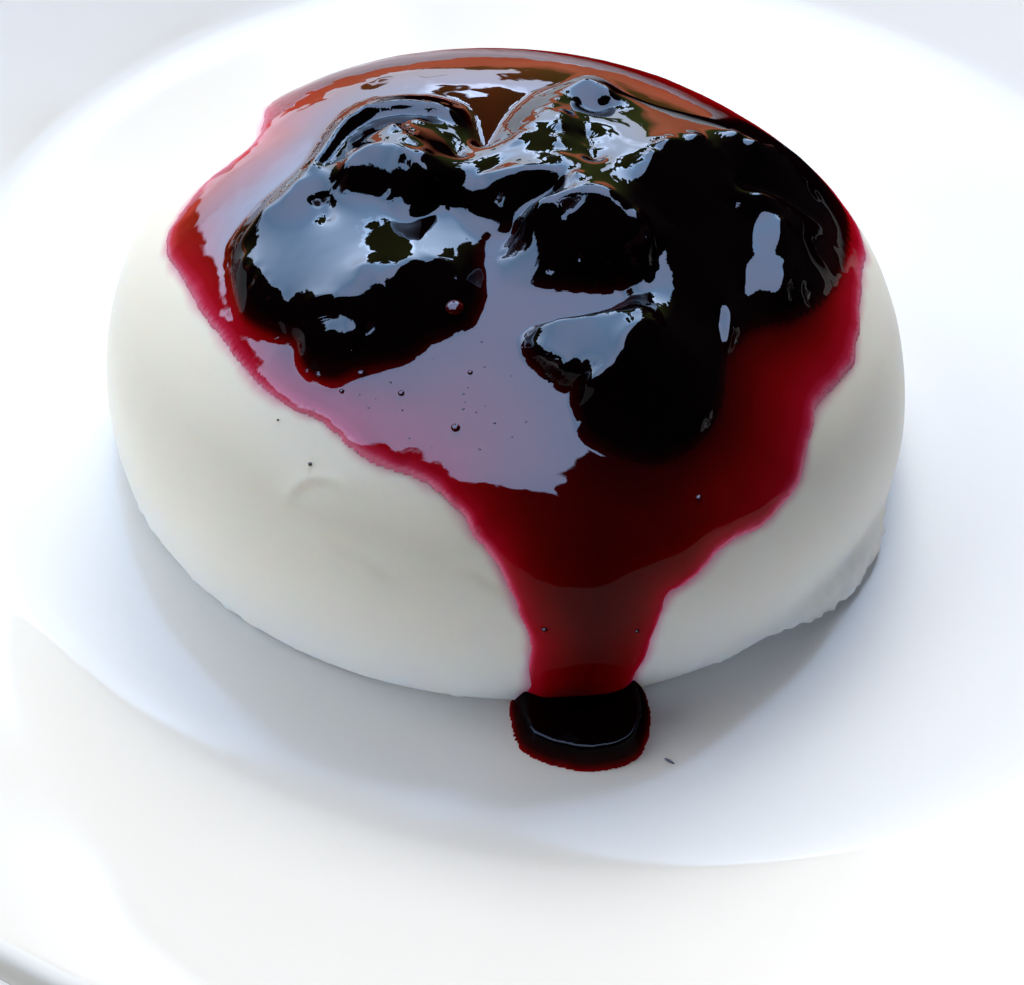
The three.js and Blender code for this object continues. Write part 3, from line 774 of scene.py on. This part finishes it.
def in_picture(points):
    """Where the camera sees points that are measured from the middle of the cream's base, in pixels."""
    view = np.array(bpy.context.scene.camera.matrix_world.inverted())
    seen = (points + np.array(CREAM_PLACE)) * METRES @ view[:3, :3].T + view[:3, 3]
    spread = PICTURE_SIZE[0] * LENS / SENSOR_WIDTH / -seen[:, 2]
    right, down = seen[:, 0] * spread, -seen[:, 1] * spread
    return np.column_stack([right + PICTURE_SIZE[0] / 2, down + PICTURE_SIZE[1] / 2])


def under_picture(places, raised):
    """The flat map's places that lie under places in the camera's picture, at heights over the cream."""
    wanted = np.array(places)
    flat = np.full(wanted.shape, -1.0)
    for _ in range(AIM_ROUNDS):
        seen = in_picture(over_cream(*flat.T, raised))
        by_east = in_picture(over_cream(*(flat + (AIM_STEP, 0)).T, raised)) - seen
        by_north = in_picture(over_cream(*(flat + (0, AIM_STEP)).T, raised)) - seen
        slopes = np.stack([by_east, by_north], axis=-1) / AIM_STEP
        move = np.linalg.solve(slopes, (wanted - seen)[..., None])[..., 0]
        flat += np.clip(move, -AIM_REACH, AIM_REACH)
    return flat


def from_close_view(places, raised):
    """The same for places in the close view."""
    corner = (CLOSE_VIEW["left"], CLOSE_VIEW["top"])
    return under_picture(np.array(places) * CLOSE_VIEW["scale"] + corner, raised)


def heap_line(corners):
    """A crest or foot on the flat map, with its heights over the film."""
    corners = np.array(corners)
    return np.column_stack([from_close_view(corners[:, :2], corners[:, 2] + HEAP_STAND), corners[:, 2]])


def neighbours(field, pick):
    """Each cell's value joined with those of the cells beside it."""
    padded = np.pad(field, 1, "edge")
    joined = field
    for side in (padded[2:, 1:-1], padded[:-2, 1:-1], padded[1:-1, 2:], padded[1:-1, :-2]):
        joined = pick(joined, side)
    return joined


def smooth_step(value):
    """Eases from 0 to 1 as the value does."""
    value = np.clip(value, 0, 1)
    return value * value * (3 - 2 * value)


def walk(corners, step):
    """Points at even steps along a chain of corners."""
    along = np.concatenate([[0], np.cumsum(np.hypot(*np.diff(corners[:, :2], axis=0).T))])
    places = np.arange(0, along[-1], step)
    return np.column_stack([np.interp(places, along, column) for column in corners.T])


def heap_height(east, north, in_heap):
    """The heap's height over the film, settled on ever finer grids."""
    lines = np.vstack([walk(heap_line(corners), SURFACE_CELL / 3) for corners in HEAP_LINES.values()])
    flat = lines * (1, 1, 0)
    lines[:, 0] += CREST_STRAY * noise_at(flat, 1.5, 51)
    lines[:, 1] += CREST_STRAY * noise_at(flat, 1.5, 52)
    lines[:, 2] *= 1 + CREST_WOBBLE * noise_at(flat, 1.1, 53) * smooth_step(lines[:, 2] - 1)
    height = None
    for level in reversed(range(SETTLING_LEVELS)):
        skip = 2**level
        inside_here = in_heap[::skip, ::skip]
        row = np.rint((lines[:, 1] - north[0]) / SURFACE_CELL / skip).astype(int)
        column = np.rint((lines[:, 0] - east[0]) / SURFACE_CELL / skip).astype(int)
        total, count = np.zeros(inside_here.shape), np.zeros(inside_here.shape)
        np.add.at(total, (row, column), lines[:, 2])
        np.add.at(count, (row, column), 1)
        held = total / np.maximum(count, 1)
        if height is None:
            height = held
        else:
            height = np.repeat(np.repeat(height, 2, 0), 2, 1)[:held.shape[0], :held.shape[1]]
        for _ in range(SETTLING_ROUNDS):
            around = (neighbours(height, np.add) - height) / 4
            height = np.where(count > 0, held, around) * inside_here
    for _ in range(SMOOTHING_ROUNDS):
        height = (neighbours(height, np.add) + height) / 6
    return HEAP_TALLEST * np.maximum(height / HEAP_TALLEST, 0) ** HEAP_FULLNESS


def flat_places(east_grid, north_grid):
    """The grid's places as a list of points."""
    return np.stack([east_grid.ravel(), north_grid.ravel(), np.zeros(east_grid.size)], -1)


def settled_surface():
    """The grid's places, the surface's height over the cream, how deep the juice looks, and the distance
    inside the edge."""
    east = np.arange(*MAP_EAST, SURFACE_CELL)
    north = np.arange(*MAP_NORTH, SURFACE_CELL)
    east_grid, north_grid = np.meshgrid(east, north)
    places = flat_places(east_grid, north_grid)
    inside = distance_inside(east_grid, north_grid, outline)
    for amount, size in EDGE_WAVES:
        inside += amount * noise_at(places, size, 20).reshape(inside.shape)
    behind_front = smooth_step((north_grid - FRONT["north"]) / FRONT["blend"])
    slack = np.maximum(behind_front, smooth_step((FRONT["east"] - east_grid) / FRONT["blend"]))
    rise = FRONT_RISE + (FILM_RISE - FRONT_RISE) * slack
    film = FILM_DEPTH * (1 - np.exp(-np.maximum(inside, 0) / rise))
    film = np.where(inside < 0, np.maximum(inside * 0.5, -EDGE_SINK), film)
    juice_rise = FRONT_JUICE_RISE + (JUICE_RISE - FRONT_JUICE_RISE) * slack
    juice = JUICE_DEPTH * (1 - np.exp(-np.maximum(inside, 0) / juice_rise))
    run_down = np.searchsorted(north, TONGUE_FULL)
    juice[:run_down] = juice[run_down]
    edge = closed_curve(from_close_view(HEAP_OUTLINE, HEAP_STAND), 6)
    within_heap = distance_inside(east_grid, north_grid, edge)
    gathered = smooth_step(1 + within_heap / GATHERED_REACH) * smooth_step(inside / JUICE_RISE)
    juice += GATHERED_JUICE * gathered
    juice += HEAP_JUICE * smooth_step(within_heap / 1.4)
    heaped = heap_height(east, north, within_heap > 0) * smooth_step(inside / 1.5)
    ripple = 0.03 * noise_at(places, 4.5, 22) + 0.008 * noise_at(places, 1.2, 23)
    height = film + heaped + ripple.reshape(film.shape) * smooth_step(inside / 2)
    return east, north, height, juice + heaped, inside


surface_east, surface_north, surface_height, surface_juice, surface_inside = settled_surface()


def on_surface(field, right, back):
    """A field's values at places on the flat map, between the grid's points."""
    column = np.clip((right - surface_east[0]) / SURFACE_CELL, 0, len(surface_east) - 1.001)
    row = np.clip((back - surface_north[0]) / SURFACE_CELL, 0, len(surface_north) - 1.001)
    left, low = column.astype(int), row.astype(int)
    across, up = column - left, row - low
    lower = field[low, left] * (1 - across) + field[low, left + 1] * across
    upper = field[low + 1, left] * (1 - across) + field[low + 1, left + 1] * across
    return lower * (1 - up) + upper * up


def lay_over_cream(bm, flat):
    """Moves a mesh from the flat map, with heights over the cream, to its place on the plate."""
    for vertex, place in zip(bm.verts, over_cream(*flat)):
        vertex.co = Vector(place) + CREAM_PLACE


# ---- The berries ----
# Cooked dark berries lie where they came to rest on the dome. Each has slumped into the heap and fills it to
# just under its surface. They are shaped on the cream's flat map and then laid over it.

BERRIES = [
    {"x": -19.3, "y": -12.8, "length": 10.5, "width": 12.5, "height": 5.2, "turn": 20},
    {"x": -16, "y": -5.2, "length": 9.5, "width": 10, "height": 4.8, "turn": 30},
    {"x": -13.2, "y": -20.3, "length": 10.5, "width": 10.5, "height": 6.2, "turn": 15},
    {"x": -7.6, "y": -20.6, "length": 9, "width": 8.5, "height": 5.4, "turn": 0},
    {"x": -6.2, "y": -14.6, "length": 9.5, "width": 9.5, "height": 5.4, "turn": -20},
    {"x": -11.2, "y": -2.6, "length": 10.5, "width": 10, "height": 6.8, "turn": 0},
    {"x": -8.3, "y": 5.2, "length": 8.6, "width": 9.5, "height": 4.8, "turn": 0},
    {"x": 0.8, "y": -5.8, "length": 8.4, "width": 8.4, "height": 5.8, "turn": 20},
    {"x": 7, "y": -10.4, "length": 14.4, "width": 10.4, "height": 8, "turn": 0},
    {"x": 5.8, "y": 3.4, "length": 4.8, "width": 9, "height": 5, "turn": 0},
    {"x": 8, "y": 12.6, "length": 5, "width": 5.5, "height": 3.8, "turn": 0},
    {"x": 15.6, "y": -1.4, "length": 9.6, "width": 12.4, "height": 6.8, "turn": 10},
    {"x": 24, "y": 7, "length": 12.5, "width": 9.6, "height": 5.6, "turn": -20},
    {"x": 15.6, "y": -12.4, "length": 7.6, "width": 8.6, "height": 5.6, "turn": 0},
    {"x": 24.4, "y": -6, "length": 10.6, "width": 12, "height": 5.8, "turn": 0},
    {"x": 4.6, "y": -22, "length": 7.6, "width": 7.4, "height": 4.6, "turn": -40},
    {"x": 12.8, "y": -24.2, "length": 13.4, "width": 14.4, "height": 7.8, "turn": 0},
    {"x": 20, "y": -16.6, "length": 4.8, "width": 6.6, "height": 3.4, "turn": 0},
]
BERRY_BLUNTNESS = 8  # the power that keeps a berry full right out to its rim
BERRY_COVER = 0.14  # sauce over a berry where it is coated
BERRY_FLOOR = 0.12  # height over the cream of a berry's pressed underside
BERRY_PUFF = 1.6  # how far a berry would stand up if the surface let it, over its height
BERRY_RAGGEDNESS = 0.24  # unevenness of a berry's outline, as a share of its radius
WRINKLE_SIZE = 1.2
WRINKLE_DEPTH = 0.12
DOME_POINTS = 400  # points of the mould line on the dome, where the radius still grows
FINE_BERRY = 6  # a berry longer than this gets the finer mesh


def berry_surface(berry, seed):
    """A slumped ball for one berry, on the cream's flat map, with heights over the cream."""
    bm = bmesh.new()
    bmesh.ops.create_icosphere(bm, subdivisions=6 if berry["length"] > FINE_BERRY else 5, radius=1)
    ball = np.array([v.co for v in bm.verts])
    outward = np.hypot(ball[:, 0], ball[:, 1])
    around = ball[:, :2] / np.maximum(outward, 1e-6)[:, None]
    uneven = 1 + BERRY_RAGGEDNESS * noise_at(np.column_stack([around, outward * 0]), 0.75, seed)
    share = ball[:, :2] * uneven[:, None]
    flat = share * np.array([berry["length"] / 2, berry["width"] / 2])
    turn = math.radians(berry["turn"])
    radius = math.hypot(berry["x"], berry["y"])
    spread = np.interp(radius, LINE_RADIUS[:DOME_POINTS], LINE_LENGTH[:DOME_POINTS]) / radius
    east = flat[:, 0] * math.cos(turn) - flat[:, 1] * math.sin(turn) + berry["x"] * spread
    north = flat[:, 0] * math.sin(turn) + flat[:, 1] * math.cos(turn) + berry["y"] * spread
    places = np.column_stack([flat, outward * 0])
    wrinkles = WRINKLE_DEPTH * np.abs(noise_at(places, WRINKLE_SIZE, seed + 20))
    room = on_surface(surface_height, east, north) - BERRY_COVER - wrinkles
    full = BERRY_PUFF * berry["height"] * np.sqrt(np.clip(1 - outward**BERRY_BLUNTNESS, 0, 1))
    raised = np.where(ball[:, 2] > 0, np.minimum(room, full), 0)
    return bm, east, north, np.maximum(raised, BERRY_FLOOR)


# Cooked berry skin: nearly black with a purple cast, wet with juice, so it has a sharp gloss broken by
# wrinkles.
BLUSH_SIZE = 2.5  # millimetres
PUCKER_SIZE = 0.4
berry_skin, berry_tree, skin_shader = new_material("cooked_berry_skin")
finish_shader(
    skin_shader,
    Base_Color=blend(berry_tree, mottled(berry_tree, BLUSH_SIZE, 3.0), linear("060304"), linear("1c0709")),
    Normal=bumped(berry_tree, mottled(berry_tree, PUCKER_SIZE), 0.35, 0.06),
    Roughness=0.14,
    IOR=1.32,
)

for index, berry in enumerate(BERRIES):
    berry_bm, *berry_flat = berry_surface(berry, index + 1)
    lay_over_cream(berry_bm, berry_flat)
    name = f"berry_{index + 1:02d}"
    berry_piece = new_piece(name + "_skin", berry_bm, berry_skin)
    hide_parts(name)
    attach(berry_piece, "root")

# ---- The sauce ----
# Thick berry sauce: a film over the dome, a coat over the heap that is broken where a berry pokes out, and a
# tongue down the wall. It is a sheet on the flat map that is then laid over the cream.

SAUCE_UNDERSIDE = -0.45  # how deep the hidden underside is bedded in the cream
FLOOR_CELL = 2.5
BARE_SLOPE = 0.5  # only skin steeper than this shows through
BARE_SHARE = 0.4  # a higher share leaves less of it bare
BARE_DIP = 0.2  # how much lower the skin lies than the coat
BARE_EDGE = 0.1


def bare_skin():
    """Where the sauce has run off a berry's steep front, on the grid."""
    places = flat_places(*np.meshgrid(surface_east, surface_north))
    patches = noise_at(places, 2.4, 21) + 0.5 * noise_at(places, 0.9, 24)
    slope = np.hypot(*np.gradient(surface_height, SURFACE_CELL))
    bare = smooth_step((patches.reshape(slope.shape) - BARE_SHARE) / BARE_EDGE)
    return bare * smooth_step((slope - BARE_SLOPE) / BARE_EDGE)


def sauce_sheet():
    """The sauce's upper face, trimmed to the outline."""
    height = surface_height - BARE_DIP * bare_skin()
    bm = bmesh.new()
    depth_layer = bm.verts.layers.float.new("depth")
    half = Vector((surface_east[-1] - surface_east[0], surface_north[-1] - surface_north[0])) / 2
    middle = Vector((surface_east[0] + half.x, surface_north[0] + half.y, 0))
    bmesh.ops.create_grid(
        bm,
        x_segments=len(surface_east) - 1,
        y_segments=len(surface_north) - 1,
        size=1,
        matrix=Matrix.Translation(middle) @ Matrix.Diagonal((half.x, half.y, 1, 1)),
    )
    for vertex in bm.verts:
        column = round((vertex.co.x - surface_east[0]) / SURFACE_CELL)
        row = round((vertex.co.y - surface_north[0]) / SURFACE_CELL)
        vertex.co.z = height[row, column]
        vertex[depth_layer] = surface_juice[row, column]
        vertex.tag = bool(surface_inside[row, column] < -2 * SURFACE_CELL)
    bmesh.ops.delete(bm, geom=[v for v in bm.verts if v.tag], context="VERTS")
    return bm


def close_underneath(bm, underside, cell):
    """Closes an open sheet with a skirt down to the underside's height, and a floor cut into square cells."""
    rim = [e for e in bm.edges if e.is_boundary]
    skirt = bmesh.ops.extrude_edge_only(bm, edges=rim)["geom"]
    low = [g for g in skirt if isinstance(g, bmesh.types.BMVert)]
    for vertex in low:
        vertex.co.z = underside
    lowest = [min(v.co[axis] for v in low) for axis in (0, 1)]
    highest = [max(v.co[axis] for v in low) for axis in (0, 1)]
    floor_faces = bmesh.ops.holes_fill(bm, edges=[e for e in bm.edges if e.is_boundary], sides=0)["faces"]
    for axis in (0, 1):
        normal = Vector((1 - axis, axis, 0))
        for cut in np.arange(lowest[axis] + cell, highest[axis], cell):
            edges = {e for f in floor_faces for e in f.edges}
            corners = {v for f in floor_faces for v in f.verts}
            geometry = list(floor_faces) + list(edges) + list(corners)
            halves = bmesh.ops.bisect_plane(bm, geom=geometry, plane_co=normal * cut, plane_no=normal)
            floor_faces = [g for g in halves["geom"] if isinstance(g, bmesh.types.BMFace)]
    bmesh.ops.recalc_face_normals(bm, faces=bm.faces)


# Reduced berry sauce: clear red juice over white cream, so it is pink where it is thinnest, then deep red,
# and black where it is thick. Its surface is as sharp as syrup.
berry_sauce, sauce_tree, sauce_shader = new_material("berry_syrup")
depth = add_node(sauce_tree, "ShaderNodeAttribute", {"attribute_name": "depth"})
# The sauce's colour by how deep the juice looks, in millimetres.
SAUCE_COLOURS = [
    (0.0, "d4708f"), (0.06, "cb4a6c"), (0.16, "b92243"), (0.35, "a0081d"), (0.9, "7c0306"), (1.3, "5c0203"),
    (1.7, "3e0202"), (2.3, "1e0102"), (4.0, "060102"),
]
DEEPEST = SAUCE_COLOURS[-1][0]
# The sauce's coat is thinned on steep faces, most of all those turned right and behind, as painted shade in
# what they mirror. The slope is the upward part of the normal where the coat is thinnest and fullest. Low
# down, on the plate, the coat is thinned too, as painted shade.
DIM_REFLECTION_WAY = (-0.45, -1.0, 1)
DIM_REFLECTION_SLOPE = (0.36, 0.5)
FULL_REFLECTION_SLOPE = (0.4, 0.72)
STEEP_REFLECTION = 0.3
LOW_REFLECTION_HEIGHT = (8.5 * METRES, 12 * METRES)
LOW_REFLECTION = 0.25
depth_share = compute(sauce_tree, "DIVIDE", depth.outputs["Fac"], DEEPEST)
sauce_ramp = add_node(sauce_tree, "ShaderNodeValToRGB", inputs={"Fac": depth_share})
fill_ramp(sauce_ramp, [(millimetres / DEEPEST, colour) for millimetres, colour in SAUCE_COLOURS])
sauce_normal = add_node(sauce_tree, "ShaderNodeNewGeometry").outputs["Normal"]
sauce_up = add_node(sauce_tree, "ShaderNodeSeparateXYZ", inputs={0: sauce_normal}).outputs["Z"]
sauce_aside = compute_vector(sauce_tree, "DOT_PRODUCT", sauce_normal, DIM_REFLECTION_WAY, output="Value")
sauce_coordinates = add_node(sauce_tree, "ShaderNodeTexCoord")
sauce_place = add_node(sauce_tree, "ShaderNodeSeparateXYZ", inputs={0: sauce_coordinates.outputs["Object"]})
# Painted shade in the reflections: the coat is thinned on steep faces, on faces turned right and behind, and
# low down on the plate.
sauce_reflection_share = compute(
    sauce_tree,
    "MULTIPLY",
    remap(sauce_tree, sauce_up, *FULL_REFLECTION_SLOPE, STEEP_REFLECTION),
    remap(sauce_tree, sauce_aside, *DIM_REFLECTION_SLOPE),
)
high_up_reflection = remap(sauce_tree, sauce_place.outputs["Z"], *LOW_REFLECTION_HEIGHT, LOW_REFLECTION)
finish_shader(
    sauce_shader,
    Base_Color=sauce_ramp.outputs["Color"],
    Roughness=0.04,
    IOR=1.45,
    Specular_IOR_Level=0.0,
    Coat_Weight=compute(sauce_tree, "MULTIPLY", sauce_reflection_share, high_up_reflection),
    Coat_Roughness=0.02,
    Coat_IOR=1.32,
)

sauce_bm = sauce_sheet()
close_underneath(sauce_bm, SAUCE_UNDERSIDE, FLOOR_CELL)
lay_over_cream(sauce_bm, np.array([v.co for v in sauce_bm.verts]).T)
sauce = new_piece("sauce_film", sauce_bm, berry_sauce)
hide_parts("sauce")
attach(sauce, "root")

# ---- The pool ----
# Sauce that ran down the tongue and gathered on the plate, a thick rounded drop against the cream's foot.

POOL_OUTLINE = [
    (4, -36.5), (2.3, -39.5), (2.2, -41.7), (3.1, -45), (5, -46.5), (7.9, -47.3), (10.2, -47.3),
    (12.5, -46.6), (14.2, -45.2), (15, -43.1), (15.2, -40.6), (14.5, -37.6), (12.5, -35.5), (8.5, -35),
]
POOL_HEIGHT = 2.2
POOL_SHOULDER = 1.15  # distance from its edge at which the pool reaches its full height
POOL_CELL = 0.15
POOL_UNDERSIDE = -0.12
POOL_WAVES = (0.12, 1.6)  # how far its edge strays, and the size of its swells
POOL_JUICE = (0.7, 1.9)  # how deep the juice looks at the edge, and how much more per millimetre of height


def pool_sheet():
    """The pool as a closed drop standing on the plate, before it is put in place."""
    curve = closed_curve(POOL_OUTLINE, 8)
    bm = bmesh.new()
    depth_layer = bm.verts.layers.float.new("depth")
    lowest, highest = curve.min(axis=0), curve.max(axis=0)
    middle, half = (lowest + highest) / 2, (highest - lowest) / 2 + POOL_CELL
    bmesh.ops.create_grid(
        bm,
        x_segments=round(half[0] / POOL_CELL) * 2,
        y_segments=round(half[1] / POOL_CELL) * 2,
        size=1,
        matrix=Matrix.Translation((*middle, 0)) @ Matrix.Diagonal((*half, 1, 1)),
    )
    places = np.array([v.co for v in bm.verts])
    inside = distance_inside(places[:, 0], places[:, 1], curve)
    inside += POOL_WAVES[0] * noise_at(places, POOL_WAVES[1], 31)
    share = np.clip(inside / POOL_SHOULDER, 0, 1)
    height = POOL_HEIGHT * share**0.95 + 0.02 * np.maximum(inside, 0) + np.clip(inside * 1.5, -0.1, 0)
    for vertex, rise, within in zip(bm.verts, height, inside):
        vertex.co.z = rise
        vertex[depth_layer] = POOL_JUICE[0] + POOL_JUICE[1] * rise
        vertex.tag = bool(within < -POOL_CELL)
    bmesh.ops.delete(bm, geom=[v for v in bm.verts if v.tag], context="VERTS")
    return bm


pool_bm = pool_sheet()
close_underneath(pool_bm, POOL_UNDERSIDE, FLOOR_CELL)
bmesh.ops.translate(pool_bm, vec=(CREAM_PLACE.x, CREAM_PLACE.y, WELL_HEIGHT), verts=pool_bm.verts)
pool = new_piece("sauce_pool", pool_bm, berry_sauce)
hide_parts("sauce")
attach(pool, "root")

# ---- Bubbles and specks ----
# Small air bubbles stand in the film of sauce, a few vanilla seeds sit in the cream, and one fleck of berry
# skin fell on the plate.

# Right and down in the camera's picture, in pixels, and the radius in millimetres.
BUBBLES = [
    (455, 312, 0.85), (360, 370, 0.4), (400, 390, 0.3), (455, 425, 0.42), (700, 497, 0.3),
    (545, 632, 0.3), (638, 633, 0.25), (470, 370, 0.25), (339, 387, 0.25),
]
BUBBLE_STAND = 1.2  # height over the cream at which their places are read
SMALL_BUBBLES = {"count": 26, "east": (-14, 5), "north": (-32, -21), "radius": (0.06, 0.14)}
BUBBLE_SQUASH = 0.6  # how high a bubble stands, as a share of its width
SMALL_SQUASH = 0.28
SEEDS = [
    (278, 420, 0.12), (310, 464, 0.19), (310, 405, 0.1), (314, 410, 0.08), (324, 408, 0.1), (341, 420, 0.11),
]


def small_spots(spots, raised):
    """Places on the flat map with their radii, for spots placed in the camera's picture."""
    spots = np.array(spots)
    return np.column_stack([under_picture(spots[:, :2], raised), spots[:, 2]])


def add_ball(bm, place, radius, squash):
    """A small ball pressed flatter in height, joined to the others."""
    shape = Matrix.Translation(Vector(place)) @ Matrix.Diagonal((radius, radius, radius * squash, 1))
    bmesh.ops.create_icosphere(bm, subdivisions=3 if radius > 0.25 else 2, radius=1, matrix=shape)


def make_bubbles():
    """All the bubbles in one mesh. Each stands half out of the film."""
    rng = random.Random(7)
    spots = list(small_spots(BUBBLES, BUBBLE_STAND))
    for _ in range(SMALL_BUBBLES["count"]):
        spots.append(tuple(rng.uniform(*SMALL_BUBBLES[key]) for key in ("east", "north", "radius")))
    bm = bmesh.new()
    depth_layer = bm.verts.layers.float.new("depth")
    for right, back, radius in spots:
        squash = BUBBLE_SQUASH if radius > SMALL_BUBBLES["radius"][1] else SMALL_SQUASH
        height = on_surface(surface_height, np.array(right), np.array(back))
        add_ball(bm, Vector(over_cream(right, back, height)) + CREAM_PLACE, radius, squash)
    for vertex in bm.verts:
        vertex[depth_layer] = JUICE_DEPTH
    bmesh.ops.recalc_face_normals(bm, faces=bm.faces)
    return bm


bubbles = new_piece("sauce_bubbles", make_bubbles(), berry_sauce)
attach(bubbles, "root")

# Vanilla seed: tiny, dark brown and dull.
seed_hull, seed_tree, seed_shader = new_material("vanilla_seed")
seed_mottle = mottled(seed_tree, 0.2)
finish_shader(
    seed_shader,
    Base_Color=blend(seed_tree, seed_mottle, linear("1d1512"), linear("3a2a24")),
    Roughness=0.6,
)
seeds_bm = bmesh.new()
for right, back, radius in small_spots(SEEDS, 0.0):
    add_ball(seeds_bm, Vector(over_cream(right, back, 0.0)) + CREAM_PLACE, radius, 0.9)
seeds = new_piece("vanilla_seeds", seeds_bm, seed_hull)
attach(seeds, "root")

FLECK_PLACE = Vector((16.9, -45.6, WELL_HEIGHT - CREAM_PLACE.z + 0.1))
FLECK_RADII = (0.55, 0.13, 0.1)
FLECK_TURN = math.radians(-30)
fleck_shape = Matrix.Translation(CREAM_PLACE + FLECK_PLACE)
fleck_shape @= Matrix.Rotation(FLECK_TURN, 4, "Z") @ Matrix.Diagonal((*FLECK_RADII, 1))
fleck_bm = bmesh.new()
bmesh.ops.create_icosphere(fleck_bm, subdivisions=3, radius=1, matrix=fleck_shape)
fleck = new_piece("berry_fleck", fleck_bm, berry_skin)
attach(fleck, "root")
